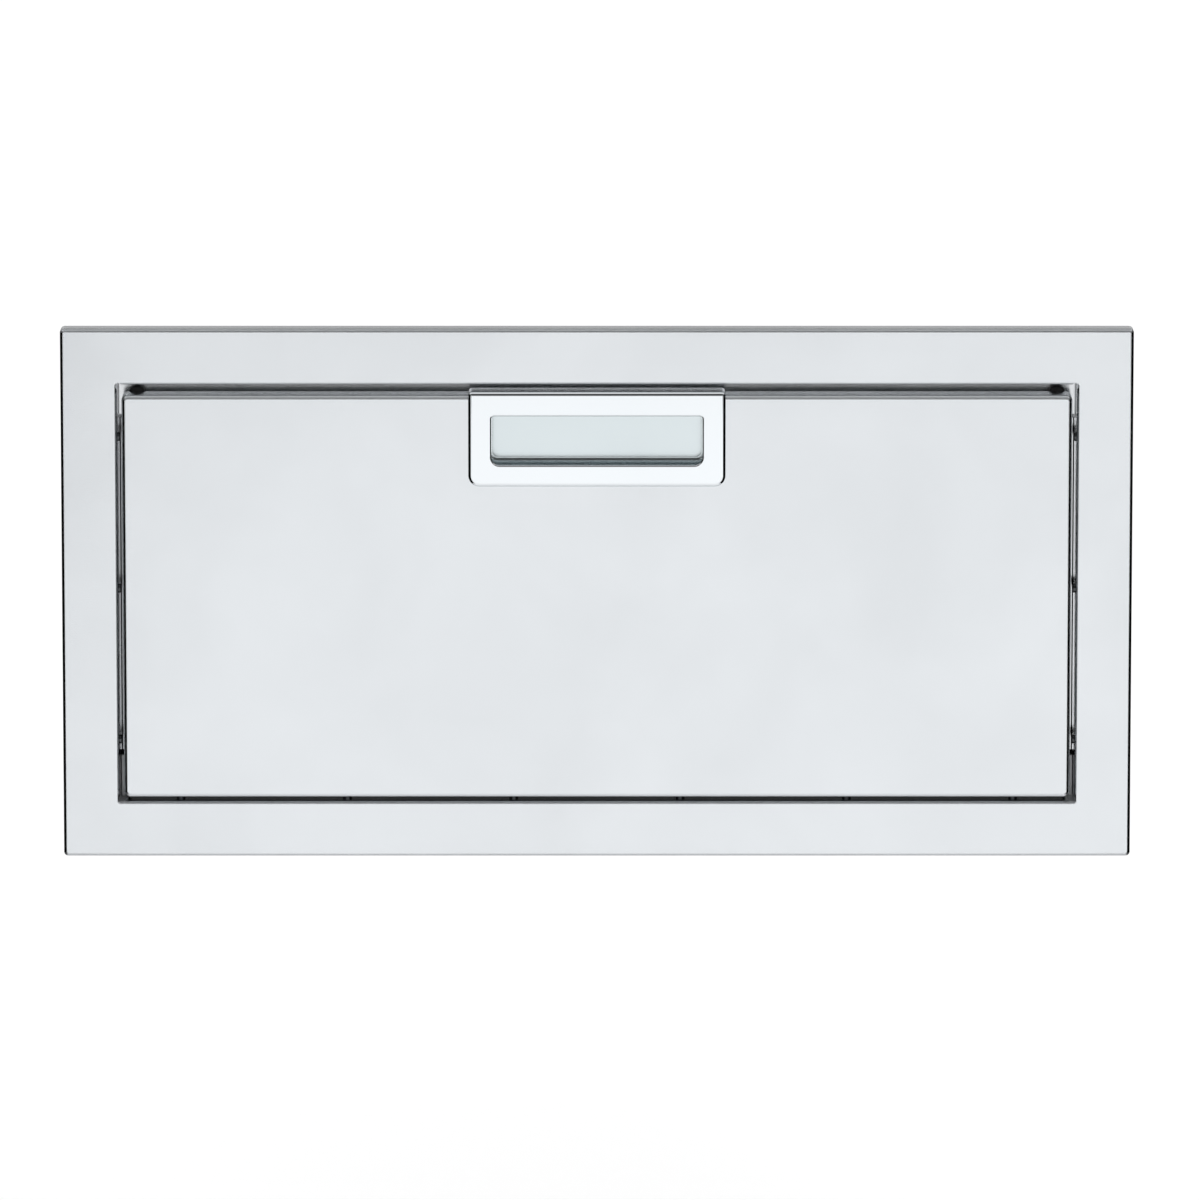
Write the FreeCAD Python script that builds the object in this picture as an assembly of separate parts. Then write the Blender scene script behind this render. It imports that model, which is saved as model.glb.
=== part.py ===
import FreeCAD, Part
import math
import os

# Built-in drawer unit for an outdoor kitchen island, in millimetres.
# X runs to the right, Y runs back into the island and Z runs up.
# The origin is the centre of the island cut-out, in the plane of the island's face.

os.makedirs("parts", exist_ok=True)
Vec = FreeCAD.Vector
X = Vec(1, 0, 0)
Y = Vec(0, 1, 0)
Z = Vec(0, 0, 1)

# Trim frame: one folded sheet round the opening
frame_width = 762.0
frame_height = 381.0
frame_band = 40.0
frame_return = 16.0
frame_flange = 28.0
frame_sheet = 1.2
frame_corner = 3.0
frame_bend = 2.6
opening_bend = 2.3
corner_relief = 2.3
corner_relief_inset = 1.3
flange_end_front_gap = 3.0
flange_end_back_gap = 7.0
opening_corner = 0.6

# Drawer front: a folded skin closed by a liner
front_side_gap = 3.5
front_top_gap = 7.3
front_bottom_gap = 3.5
front_proud = 3.0
front_thickness = 20.0
front_sheet = 1.2
front_bend = 3.0
front_corner = 4.0
liner_sheet = 1.0
liner_flange = 12.0

# Handle: a polished plate bent over the top edge of the drawer front
handle_width = 182.9
handle_height = 68.3
handle_thickness = 3.0
handle_fold = 3.0
handle_edge = 2.7
handle_bottom_corner = 8.0
handle_back_corner = 4.0
window_side_band = 16.4
window_top_band = 17.5
window_bottom_band = 15.7
window_edge = 1.3
window_top_corner = 2.0
window_bottom_corner = 6.0
stud_radius = 2.0
stud_length = 8.0
stud_side_edge = 4.8
stud_bottom_edge = 9.0
stud_top_edge = 12.0
nut_flats = 7.0
nut_height = 3.2

# Finger pocket behind the handle's window
pocket_sheet = 0.8
pocket_depth = 17.5
pocket_side_room = 3.5
pocket_floor_drop = 1.3
pocket_head_room = 7.5
pocket_corner = 8.0
pocket_cove = 4.0
pocket_flange = 3.4

# Housing: sheet sides, bottom and back behind the frame, open at the top
housing_sheet = 1.2
housing_tail_room = 6.8
housing_front_setback = 5.0
housing_flange = 12.0
corner_tab_width = 6.5
corner_tab_height = 28.2
corner_tab_root = 5.0
side_taper_start = 150.0
side_taper_drop = 63.7
island_hole_radius = 2.6
island_hole_end_margin = 60.0
island_hole_bottom_margin = 41.7
island_hole_top_margin = 18.0
seam_end_margin = 62.0
seam_count = 4
back_seam_margin = 52.0
back_seam_count = 3

# Front top rail and the two rubber bumpers that the drawer front closes on
rail_sheet = 1.2
rail_drop = 25.2
rail_lip = 8.0
rail_gap = 0.2
rail_end_gap = 0.7
bumper_radius = 5.9
bumper_gap = 0.3
bumper_side_inset = 13.9
bumper_top_inset = 9.3
bumper_round = 1.5
bumper_stem_radius = 2.4
bumper_barb_radius = 3.6
bumper_barb_tip_radius = 1.4
bumper_barb_length = 3.0

# Upright bars behind the side flanges of the frame
bar_stand_in = 3.2
bar_depth = 12.0
bar_top_margin = 28.1
bar_bottom_margin = 32.5
bar_groove_inset = 1.5
bar_groove_width = 1.0
bar_groove_depth = 4.0
bar_round = 0.25
bar_screw_margin = 21.5
bar_screw_setback = 8.0
bar_screw_depth = 2.2
bar_hole_depth = 2.5

# Ball-bearing drawer slides
slide_length = 500.0
slide_height = 45.0
slide_thickness = 12.7
slide_sheet = 1.2
slide_behind_front = 3.0
slide_z = -20.0
slide_fix_margin = 50.0
slide_fix_count = 3
race_gap = 4.2
member_open_gap = 0.4
ball_radius = 1.8
ball_spacing = 40.0
balls_per_row = 6
cage_sheet = 0.6
cage_web_gap = 0.55
cage_margin = 4.0
cage_lip = 0.7
cage_hole_clearance = 0.15
cabinet_member_tail = 8.0
buffer_gap = 0.3
buffer_length = 6.7

# Slide brackets: hat rails that hold the slides off the housing sides
bracket_sheet = 1.2
bracket_height = 60.0
bracket_foot = 12.0
bracket_front_gap = 2.0
bracket_end_gap = 4.0
bar_clearance = 0.8

# Drawer box
box_sheet = 1.2
box_top_gap = 54.5
box_bottom_gap = 16.5
box_back_gap = 4.0
box_upstand = 14.0
box_hem = 9.0
box_tab = 15.0
box_tab_end_gap = 5.0
box_seam_margin = 60.0
box_seam_count = 4
back_rivet_low_margin = 40.0
back_rivet_over_slide = 36.0
back_rivet_top_margin = 30.0
tab_screw_margin = 46.0
tab_screw_count = 3
upstand_fastener_margin = 130.0
upstand_fastener_count = 3

# Fasteners
screw_head_radius = 3.25
screw_head_height = 2.0
screw_shank_radius = 2.0
screw_length = 10.0
screw_head_round = 0.9
screw_recess_width = 0.9
screw_recess_length = 3.6
screw_recess_depth = 1.0
screw_inset = 12.0
side_screw_top_margin = 39.0
side_screw_bottom_margin = 43.0
side_screw_count = 3
row_screw_margin = 43.5
row_screw_count = 6
flat_head_radius = 3.6
flat_screw_tail = 2.4
rivet_radius = 1.6
rivet_head_radius = 3.0
rivet_head_height = 0.9
rivet_head_round = 0.5
rivet_tail_radius = 2.4
rivet_tail_height = 1.4
hole_clearance = 0.1
seat_clearance = 0.1

# Planes and outlines that several pieces share
frame_front = -frame_return
frame_flange_back = frame_front + frame_flange
opening_x = frame_width / 2 - frame_band
opening_z = frame_height / 2 - frame_band

front_face = frame_front - front_proud
front_back = front_face + front_thickness
front_x = opening_x - front_side_gap
front_top = opening_z - front_top_gap
front_bottom = -opening_z + front_bottom_gap

handle_top = front_top + handle_thickness
handle_face = front_face - handle_thickness
handle_bottom = handle_top - handle_height
window_top = handle_top - window_top_band
window_bottom = handle_bottom + window_bottom_band
window_width = handle_width - 2 * window_side_band

pocket_x = window_width / 2 + pocket_side_room
pocket_bottom = window_bottom - pocket_floor_drop
pocket_top = window_top + pocket_head_room
pocket_mouth = front_face + front_sheet
pocket_back = front_face + pocket_depth

housing_inner_x = opening_x + frame_sheet
housing_inner_z = opening_z + frame_sheet
housing_outer_x = housing_inner_x + housing_sheet
housing_outer_z = housing_inner_z + housing_sheet
housing_front = frame_front + housing_front_setback
housing_back_top = housing_inner_z - side_taper_drop

rail_front = frame_flange_back + rail_gap
top_screw_grip = frame_sheet + rail_sheet
bumper_x = opening_x - bumper_side_inset
bumper_z = opening_z - bumper_top_inset
bumper_front = front_back + bumper_gap

bar_inner_x = opening_x - bar_stand_in
bar_front = frame_flange_back + rail_gap
bar_top = opening_z - bar_top_margin
bar_bottom = bar_bottom_margin - opening_z

slide_wall_x = bar_inner_x - bar_clearance
slide_drawer_x = slide_wall_x - slide_thickness
slide_front = front_back + slide_behind_front
slide_back = slide_front + slide_length
slide_travel = slide_length
housing_depth = slide_back + cabinet_member_tail + housing_tail_room + housing_sheet
taper_slope = side_taper_drop / (housing_depth - side_taper_start)
taper_stretch = (1 + taper_slope ** 2) ** 0.5

outer_half = slide_height / 2
middle_half = outer_half - slide_sheet - race_gap
inner_half = middle_half - slide_sheet - race_gap
outer_race_z = outer_half - slide_sheet - race_gap / 2
inner_race_z = middle_half - slide_sheet - race_gap / 2
outer_web_x = slide_wall_x - slide_sheet
outer_cage_x = outer_web_x - cage_web_gap - cage_sheet
middle_wall_x = outer_cage_x - cage_web_gap
middle_web_x = middle_wall_x - slide_sheet
inner_cage_x = middle_web_x - cage_web_gap - cage_sheet
inner_tip_x = inner_cage_x - cage_web_gap
member_lip_x = slide_drawer_x + slide_sheet + member_open_gap
outer_ball_x = (outer_cage_x + member_lip_x) / 2
inner_ball_x = (inner_tip_x + member_lip_x) / 2

box_outer_x = slide_drawer_x
box_inner_x = box_outer_x - box_sheet
box_bottom = -opening_z + box_bottom_gap
box_top = opening_z - box_top_gap
box_front = front_back
box_back = slide_back - box_back_gap

# Two lengths closer than this count as the same when edges are picked
near = 0.01

# How far a cutter reaches past the piece that it cuts
cut_margin = 1.0


def block(x0, x1, y0, y1, z0, z1):
    """A plain box between two corners."""
    return Part.makeBox(x1 - x0, y1 - y0, z1 - z0, Vec(x0, y0, z0))


def outline(half_x, z0, z1, top_radius, bottom_radius):
    """A face in the XZ plane with rounded corners, centred on X."""
    edges = []
    corners = [
        (half_x, z1, -1, -1, top_radius),
        (half_x, z0, -1, 1, bottom_radius),
        (-half_x, z0, 1, 1, bottom_radius),
        (-half_x, z1, 1, -1, top_radius),
    ]
    last = None
    first = None
    bend = 1 - 0.5 ** 0.5
    for index, (x, z, in_x, in_z, radius) in enumerate(corners):
        along_x = Vec(x + in_x * radius, 0, z)
        along_z = Vec(x, 0, z + in_z * radius)
        middle = Vec(x + in_x * radius * bend, 0, z + in_z * radius * bend)
        start, end = (along_x, along_z) if index % 2 == 0 else (along_z, along_x)
        if last is None:
            first = start
        else:
            edges.append(Part.makeLine(last, start))
        edges.append(Part.Arc(start, middle, end).toShape())
        last = end
    edges.append(Part.makeLine(last, first))
    return Part.Face(Part.Wire(edges))


def panel(half_x, z0, z1, top_radius, bottom_radius, y0, y1):
    """The outline above, extruded from y0 to y1."""
    face = outline(half_x, z0, z1, top_radius, bottom_radius)
    face.translate(Vec(0, y0, 0))
    return face.extrude(Vec(0, y1 - y0, 0))


def edges_at_y(shape, y, half_x, z0, z1):
    """Edges that lie in the plane at y and within a rectangle round the Y axis."""
    found = []
    for edge in shape.Edges:
        b = edge.BoundBox
        in_plane = abs(b.YMin - y) < near and abs(b.YMax - y) < near
        in_x = b.XMin > -half_x - near and b.XMax < half_x + near
        in_z = b.ZMin > z0 - near and b.ZMax < z1 + near
        if in_plane and in_x and in_z:
            found.append(edge)
    return found


def aimed(shape, position, direction):
    """A piece made along +Z from the origin, turned to a direction and put in place."""
    moved = shape.copy()
    moved.Placement = FreeCAD.Placement(position, FreeCAD.Rotation(Z, direction))
    return moved


def mirrored(shape):
    """The same piece on the other side."""
    return shape.mirror(Vec(0, 0, 0), X)


def both_sides(shapes):
    """Pieces on the right with their mirror images on the left."""
    return shapes + [mirrored(s) for s in shapes]


def drilled(shape, holes):
    """A piece with holes, each given as position, direction, radius and depth."""
    for position, direction, radius, depth in holes:
        start = position - direction * depth
        shape = shape.cut(Part.makeCylinder(radius, 2 * depth, start, direction))
    return shape


def edges_where(shape, test):
    """Edges whose bounding box passes a test."""
    return [edge for edge in shape.Edges if test(edge.BoundBox)]


def spread(low, high, count):
    """Evenly spaced values from low to high."""
    return [low + (high - low) * index / (count - 1) for index in range(count)]


def write(node, shapes):
    """Write one node, as a solid or as a group of separate solids."""
    if isinstance(shapes, list):
        shape = Part.makeCompound(shapes)
    else:
        shape = shapes
    print(node, len(shape.Solids), "solid(s), valid", shape.isValid(), round(shape.Volume, 1))
    shape.exportStep("parts/" + node + ".step")


def pan_screw(length):
    """Screw with its head above z = 0, a cross recess and its shank going down."""
    head = Part.makeCylinder(screw_head_radius, screw_head_height)
    head = head.makeFillet(screw_head_round, edges_where(head, lambda b: b.ZMin > screw_head_height - near))
    shank = Part.makeCylinder(screw_shank_radius, length, Vec(0, 0, -length))
    screw = head.fuse(shank)
    half = screw_recess_length / 2
    slim = screw_recess_width / 2
    bottom = screw_head_height - screw_recess_depth
    screw = screw.cut(block(-half, half, -slim, slim, bottom, screw_head_height))
    screw = screw.cut(block(-slim, slim, -half, half, bottom, screw_head_height))
    return screw.removeSplitter()


def flat_screw(length):
    """Countersunk screw, flush at z = 0, with its shank going down."""
    cone_depth = flat_head_radius - screw_shank_radius
    head = Part.makeCone(screw_shank_radius, flat_head_radius, cone_depth, Vec(0, 0, -cone_depth))
    shank = Part.makeCylinder(screw_shank_radius, length - cone_depth, Vec(0, 0, -length))
    return head.fuse(shank)


def countersink(position, direction, depth):
    """The space that a countersunk screw takes out of the pieces it goes through."""
    wide = flat_head_radius + hole_clearance
    slim = screw_shank_radius + hole_clearance
    cone_depth = wide - slim
    cone = Part.makeCone(slim, wide, cone_depth, Vec(0, 0, -cone_depth))
    bore = Part.makeCylinder(slim, depth, Vec(0, 0, -depth))
    return aimed(cone.fuse(bore), position, direction)


def rivet(grip):
    """Blind rivet with its head above z = 0 and its tail under the sheets it grips."""
    head = Part.makeCylinder(rivet_head_radius, rivet_head_height)
    head = head.makeFillet(rivet_head_round, edges_where(head, lambda b: b.ZMin > rivet_head_height - near))
    shank = Part.makeCylinder(rivet_radius, grip, Vec(0, 0, -grip))
    tail_start = Vec(0, 0, -grip - rivet_tail_height)
    tail = Part.makeCylinder(rivet_tail_radius, rivet_tail_height, tail_start)
    return head.fuse(shank).fuse(tail).removeSplitter()


screw_hole = screw_shank_radius + hole_clearance
rivet_hole = rivet_radius + hole_clearance


# Places of the fasteners, on the right-hand side where a piece has two sides

screw_y = frame_front + screw_inset
side_screw_z = spread(side_screw_bottom_margin - opening_z, opening_z - side_screw_top_margin,
                      side_screw_count)
side_screw_places = [Vec(opening_x, screw_y, z) for z in side_screw_z]
row_screw_x = spread(row_screw_margin - opening_x, opening_x - row_screw_margin, row_screw_count)
bottom_screw_places = [Vec(x, screw_y, -opening_z) for x in row_screw_x]
top_screw_places = [Vec(x, screw_y, opening_z) for x in row_screw_x]

bar_screw_places = []
for z in (bar_bottom + bar_screw_margin, bar_top - bar_screw_margin):
    bar_screw_places.append(Vec(housing_outer_x, bar_front + bar_screw_setback, z))

seam_y = spread(seam_end_margin, housing_depth - seam_end_margin, seam_count)
seam_x = housing_outer_x - housing_flange / 2
back_seam_y = housing_depth - housing_sheet - housing_flange / 2
back_seam_z = spread(back_seam_margin - housing_inner_z, housing_back_top - back_seam_margin, back_seam_count)
back_seam_x = spread(back_seam_margin - housing_inner_x, housing_inner_x - back_seam_margin, back_seam_count)

bracket_front = bar_front + bar_depth + bracket_front_gap
bracket_back = slide_back - bracket_end_gap
bracket_rivet_z = bracket_height / 2 + bracket_foot / 2
slide_fix_y = spread(slide_front + slide_fix_margin, slide_back - slide_fix_margin, slide_fix_count)

box_seam_y = spread(box_front + box_seam_margin, box_back - box_seam_margin, box_seam_count)
box_seam_z = box_bottom + box_upstand / 2
box_back_seam_y = box_back - box_sheet - box_upstand / 2
box_back_seam_z = [box_bottom + back_rivet_low_margin, slide_z + back_rivet_over_slide,
                   box_top - back_rivet_top_margin]
tab_screw_z = spread(box_bottom + tab_screw_margin, box_top - tab_screw_margin, tab_screw_count)
tab_screw_x = box_inner_x - box_tab / 2
upstand_x = spread(upstand_fastener_margin - box_inner_x, box_inner_x - upstand_fastener_margin,
                   upstand_fastener_count)

island_hole_places = []
for y in (island_hole_end_margin, housing_depth - island_hole_end_margin):
    for z in (island_hole_bottom_margin - housing_inner_z, housing_back_top - island_hole_top_margin):
        island_hole_places.append(Vec(housing_inner_x, y, z))


# Trim frame

def make_flange_end_gap():
    """The slanted gap between the right end of the top flange and the side flange."""
    start_y = frame_front + frame_sheet
    low = opening_z - frame_sheet
    points = [Vec(opening_x, start_y, low), Vec(opening_x - flange_end_front_gap, start_y, low),
              Vec(opening_x - flange_end_back_gap, frame_flange_back, low),
              Vec(opening_x, frame_flange_back, low)]
    return Part.Face(Part.makePolygon(points + points[:1])).extrude(Z * 2 * frame_sheet)


def make_trim_frame():
    outer = panel(frame_width / 2, -frame_height / 2, frame_height / 2,
                  frame_corner, frame_corner, frame_front, 0)
    rim = edges_at_y(outer, frame_front, frame_width / 2, -frame_height / 2, frame_height / 2)
    outer = outer.makeFillet(frame_bend, rim)

    tube_x = opening_x + frame_sheet
    tube_z = opening_z + frame_sheet
    tube_corner = opening_corner + frame_sheet
    tube = panel(tube_x, -tube_z, tube_z, tube_corner, tube_corner,
                 frame_front + frame_sheet, frame_flange_back)
    frame = outer.fuse(tube)

    mouth = panel(opening_x, -opening_z, opening_z, opening_corner, opening_corner,
                  frame_front, frame_flange_back)
    frame = frame.cut(mouth)
    frame = frame.makeFillet(opening_bend, edges_at_y(frame, frame_front, opening_x, -opening_z, opening_z))

    hollow_x = frame_width / 2 - frame_sheet
    hollow_z = frame_height / 2 - frame_sheet
    hollow_corner = frame_corner - frame_sheet
    hollow_front = frame_front + frame_sheet
    hollow = panel(hollow_x, -hollow_z, hollow_z, hollow_corner, hollow_corner, hollow_front, 0)
    hollow = hollow.cut(tube)
    hollow = hollow.makeFillet(frame_bend - frame_sheet, edges_at_y(hollow, hollow_front, hollow_x,
                                                                    -hollow_z, hollow_z))
    frame = frame.cut(hollow)

    relief_x = opening_x - corner_relief_inset
    relief_z = opening_z - corner_relief_inset
    relief_start = Vec(relief_x, frame_front - cut_margin, relief_z)
    relief = Part.makeCylinder(corner_relief, frame_flange + 2 * cut_margin, relief_start, Y)
    end_gap = make_flange_end_gap()
    for cutter in both_sides([relief, end_gap]):
        frame = frame.cut(cutter)
        frame = frame.cut(cutter.mirror(Vec(0, 0, 0), Z))

    holes = [(p, X, screw_hole, frame_flange / 4) for p in side_screw_places]
    holes += [(Vec(-p.x, p.y, p.z), X, screw_hole, frame_flange / 4) for p in side_screw_places]
    holes += [(p, Z, screw_hole, frame_flange / 4) for p in bottom_screw_places + top_screw_places]
    return drilled(frame, holes)


# Housing panels

def side_slab(x0, x1, y0, y1, inset):
    """A slab as high as the tapered side panel, less an inset at the bottom and at the top."""
    low = inset - housing_inner_z
    high = housing_inner_z - inset
    knee = side_taper_start - inset * (taper_stretch - 1) / taper_slope
    back_high = high - (y1 - knee) * taper_slope
    points = [Vec(x0, y0, low), Vec(x0, y1, low), Vec(x0, y1, back_high),
              Vec(x0, knee, high), Vec(x0, y0, high)]
    return Part.Face(Part.makePolygon(points + points[:1])).extrude(Vec(x1 - x0, 0, 0))


def make_corner_tab():
    """A tab bent in from the side panel, which closes the foot of the side gap."""
    tip_x = housing_inner_x - corner_tab_width
    root_x = opening_x - rail_end_gap
    lean = math.atan2(corner_tab_root, housing_inner_x - root_x)
    tab_back = rail_front + housing_sheet
    root_back = rail_front + corner_tab_root + housing_sheet / math.cos(lean)
    back_x = root_x - housing_sheet * math.tan(lean / 2)
    low = -housing_inner_z
    points = [Vec(tip_x, rail_front, low), Vec(root_x, rail_front, low),
              Vec(housing_inner_x, rail_front + corner_tab_root, low), Vec(housing_inner_x, root_back, low),
              Vec(back_x, tab_back, low), Vec(tip_x, tab_back, low)]
    height = corner_tab_height + frame_sheet
    return Part.Face(Part.makePolygon(points + points[:1])).extrude(Z * height)


def make_housing_side():
    side = side_slab(housing_inner_x, housing_outer_x, housing_front, housing_depth, 0)
    flange_x = housing_outer_x - housing_flange
    flange_front = rail_front + 2 * rail_sheet
    flange_back = housing_depth - housing_sheet - housing_flange - rail_sheet
    flanges = side_slab(flange_x, housing_outer_x, flange_front, flange_back, 0)
    flanges = flanges.cut(side_slab(flange_x, housing_inner_x, flange_front, flange_back, housing_sheet))
    side = side.fuse(flanges)
    side = side.fuse(make_corner_tab()).removeSplitter()

    reach = housing_sheet * 2
    holes = [(Vec(housing_inner_x, p.y, p.z), X, screw_hole, reach) for p in side_screw_places]
    holes += [(p, X, screw_hole, reach) for p in bar_screw_places]
    holes += [(p, X, island_hole_radius, reach) for p in island_hole_places]
    holes += [(Vec(seam_x, y, -housing_inner_z), Z, rivet_hole, reach) for y in seam_y]
    for z in back_seam_z:
        holes.append((Vec(housing_inner_x, back_seam_y, z), X, rivet_hole, reach))
    for y in slide_fix_y:
        for level in (-1, 1):
            place = Vec(housing_inner_x, y, slide_z + level * bracket_rivet_z)
            holes.append((place, X, rivet_hole, reach))
    return drilled(side, holes)


def make_housing_bottom():
    bottom = block(-housing_outer_x, housing_outer_x, housing_front, housing_depth,
                   -housing_outer_z, -housing_inner_z)
    reach = housing_sheet * 2
    holes = [(p, Z, screw_hole, reach) for p in bottom_screw_places]
    for y in seam_y:
        holes += [(Vec(side * seam_x, y, -housing_inner_z), Z, rivet_hole, reach) for side in (-1, 1)]
    holes += [(Vec(x, back_seam_y, -housing_inner_z), Z, rivet_hole, reach) for x in back_seam_x]
    return drilled(bottom, holes)


def make_housing_back():
    front = housing_depth - housing_sheet - housing_flange
    inner_x = housing_inner_x - housing_sheet
    back = block(-housing_inner_x, housing_inner_x, front, housing_depth,
                 -housing_inner_z, housing_back_top)
    back = back.cut(block(-inner_x, inner_x, front, housing_depth - housing_sheet,
                          housing_sheet - housing_inner_z, housing_back_top - housing_sheet))
    reach = housing_sheet * 2
    holes = [(Vec(x, back_seam_y, -housing_inner_z), Z, rivet_hole, reach) for x in back_seam_x]
    for side in (-1, 1):
        for z in back_seam_z:
            holes.append((Vec(side * housing_inner_x, back_seam_y, z), X, rivet_hole, reach))
    return drilled(back, holes)


def make_housing_rivets():
    pair = rivet(2 * housing_sheet)
    made = [aimed(pair, Vec(x, back_seam_y, -housing_outer_z), Z * -1) for x in back_seam_x]
    for side in (-1, 1):
        for y in seam_y:
            made.append(aimed(pair, Vec(side * seam_x, y, -housing_outer_z), Z * -1))
        for z in back_seam_z:
            made.append(aimed(pair, Vec(side * housing_outer_x, back_seam_y, z), X * side))
    return made


# Front top rail with its bumpers

def make_front_top_rail():
    leg_back = rail_front + rail_sheet
    low = opening_z - rail_drop
    top = housing_inner_z + rail_sheet
    end_x = opening_x - rail_end_gap
    rail = block(-end_x, end_x, rail_front, leg_back, low, top)
    rail = rail.fuse(block(-end_x, end_x, housing_front, rail_front, housing_inner_z, top))
    rail = rail.fuse(block(-end_x, end_x, leg_back, leg_back + rail_lip, low, low + rail_sheet))
    rail = rail.removeSplitter()
    holes = [(p, Z, screw_hole, rail_sheet * 3) for p in top_screw_places]
    for side in (-1, 1):
        place = Vec(side * bumper_x, rail_front, bumper_z)
        holes.append((place, Y, bumper_stem_radius + hole_clearance, rail_sheet * 2))
    return drilled(rail, holes)


def make_bumper():
    length = rail_front - bumper_front
    pad = Part.makeCylinder(bumper_radius, length)
    pad = pad.makeFillet(bumper_round, edges_where(pad, lambda b: b.ZMin > length - near))
    stem = Part.makeCylinder(bumper_stem_radius, rail_sheet + bumper_barb_length,
                             Vec(0, 0, -rail_sheet - bumper_barb_length))
    barb = Part.makeCone(bumper_barb_tip_radius, bumper_barb_radius, bumper_barb_length,
                         Vec(0, 0, -rail_sheet - bumper_barb_length))
    return aimed(pad.fuse(stem).fuse(barb), Vec(bumper_x, rail_front, bumper_z), Y * -1)


# Upright bars behind the side flanges

def make_edge_bar():
    bar = block(bar_inner_x, housing_inner_x, bar_front, bar_front + bar_depth, bar_bottom, bar_top)
    long_edges = edges_where(bar, lambda b: b.ZLength > bar_depth and b.XMax < bar_inner_x + near)
    bar = bar.makeFillet(bar_round, long_edges)
    groove_x = bar_inner_x + bar_groove_inset
    points = [Vec(groove_x, bar_front, bar_bottom), Vec(groove_x + bar_groove_width, bar_front, bar_bottom),
              Vec(groove_x + bar_groove_width / 2, bar_front + bar_groove_depth, bar_bottom)]
    bar = bar.cut(Part.Face(Part.makePolygon(points + points[:1])).extrude(Z * (bar_top - bar_bottom)))
    reach = housing_sheet + bar_hole_depth
    return drilled(bar, [(p, X, screw_hole, reach) for p in bar_screw_places])


def make_bar_screws():
    screw = pan_screw(housing_sheet + bar_screw_depth)
    return [aimed(screw, p, X) for p in bar_screw_places]


# Drawer slides, right-hand side

def make_slide_bracket():
    half = bracket_height / 2
    z0 = slide_z - half
    z1 = slide_z + half
    web_x = slide_wall_x + bracket_sheet
    hat = block(slide_wall_x, housing_inner_x, bracket_front, bracket_back, z0, z1)
    hat = hat.cut(block(web_x, housing_inner_x, bracket_front, bracket_back,
                        z0 + bracket_sheet, z1 - bracket_sheet))
    foot_x = housing_inner_x - bracket_sheet
    hat = hat.fuse(block(foot_x, housing_inner_x, bracket_front, bracket_back, z1, z1 + bracket_foot))
    hat = hat.fuse(block(foot_x, housing_inner_x, bracket_front, bracket_back, z0 - bracket_foot, z0))
    hat = hat.removeSplitter()
    for y in slide_fix_y:
        hat = hat.cut(countersink(Vec(outer_web_x, y, slide_z), X * -1, screw_length))
        for level in (-1, 1):
            place = Vec(housing_inner_x, y, slide_z + level * bracket_rivet_z)
            hat = drilled(hat, [(place, X, rivet_hole, bracket_sheet * 2)])
    return hat


def make_cabinet_member():
    back = slide_back + cabinet_member_tail
    z0 = slide_z - outer_half
    z1 = slide_z + outer_half
    member = block(member_lip_x, slide_wall_x, slide_front, back, z0, z1)
    member = member.cut(block(member_lip_x, outer_web_x, slide_front, back,
                              z0 + slide_sheet, z1 - slide_sheet))
    for level in (-1, 1):
        lip0, lip1 = sorted((slide_z + level * (outer_half - slide_sheet),
                             slide_z + level * (outer_half - slide_sheet * 2)))
        member = member.fuse(block(member_lip_x, member_lip_x + slide_sheet, slide_front, back, lip0, lip1))
    member = member.removeSplitter()
    for y in slide_fix_y:
        member = member.cut(countersink(Vec(outer_web_x, y, slide_z), X * -1, screw_length))
    return member


def make_cabinet_member_screws():
    grip = slide_sheet + bracket_sheet + flat_screw_tail
    return [aimed(flat_screw(grip), Vec(outer_web_x, y, slide_z), X * -1) for y in slide_fix_y]


def make_middle_member():
    z0 = slide_z - middle_half
    z1 = slide_z + middle_half
    member = block(member_lip_x, middle_wall_x, slide_front, slide_back, z0, z1)
    return member.cut(block(member_lip_x, middle_web_x, slide_front, slide_back,
                            z0 + slide_sheet, z1 - slide_sheet))


def make_drawer_member():
    z0 = slide_z - inner_half
    z1 = slide_z + inner_half
    web_x = slide_drawer_x + slide_sheet
    member = block(slide_drawer_x, inner_tip_x, slide_front, slide_back, z0, z1)
    member = member.cut(block(web_x, inner_tip_x, slide_front, slide_back,
                              z0 + slide_sheet, z1 - slide_sheet))
    return drilled(member, [(Vec(slide_drawer_x, y, slide_z), X, rivet_hole, slide_sheet * 2)
                            for y in slide_fix_y])


# Fully out, two members that share a cage still overlap over this length
shared_length = slide_length - slide_travel / 2
cage_front = slide_front + slide_travel / 4 + cage_margin
cage_back = slide_front + slide_travel / 4 + shared_length - cage_margin
half_row = (balls_per_row - 1) / 2 * ball_spacing
cage_middle = (cage_front + cage_back) / 2
ball_y = spread(cage_middle - half_row, cage_middle + half_row, balls_per_row)


def make_ball_cage(web_x, ball_x, race_z):
    half = race_z + cage_sheet / 2
    tip_x = ball_x - ball_radius - cage_lip
    cage = block(tip_x, web_x + cage_sheet, cage_front, cage_back, slide_z - half, slide_z + half)
    cage = cage.cut(block(tip_x, web_x, cage_front, cage_back,
                          slide_z - half + cage_sheet, slide_z + half - cage_sheet))
    hole = ball_radius + cage_hole_clearance
    holes = []
    for y in ball_y:
        for level in (-1, 1):
            holes.append((Vec(ball_x, y, slide_z + level * race_z), Z, hole, cage_sheet * 2))
    return drilled(cage, holes)


def make_balls(ball_x, race_z):
    made = []
    for level in (-1, 1):
        for y in ball_y:
            made.append(Part.makeSphere(ball_radius, Vec(ball_x, y, slide_z + level * race_z)))
    return made


def make_rear_buffer():
    start = slide_back + buffer_gap
    return block(member_lip_x + slide_sheet + seat_clearance, outer_web_x, start, start + buffer_length,
                 slide_z - outer_half + slide_sheet, slide_z + outer_half - slide_sheet)


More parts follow.
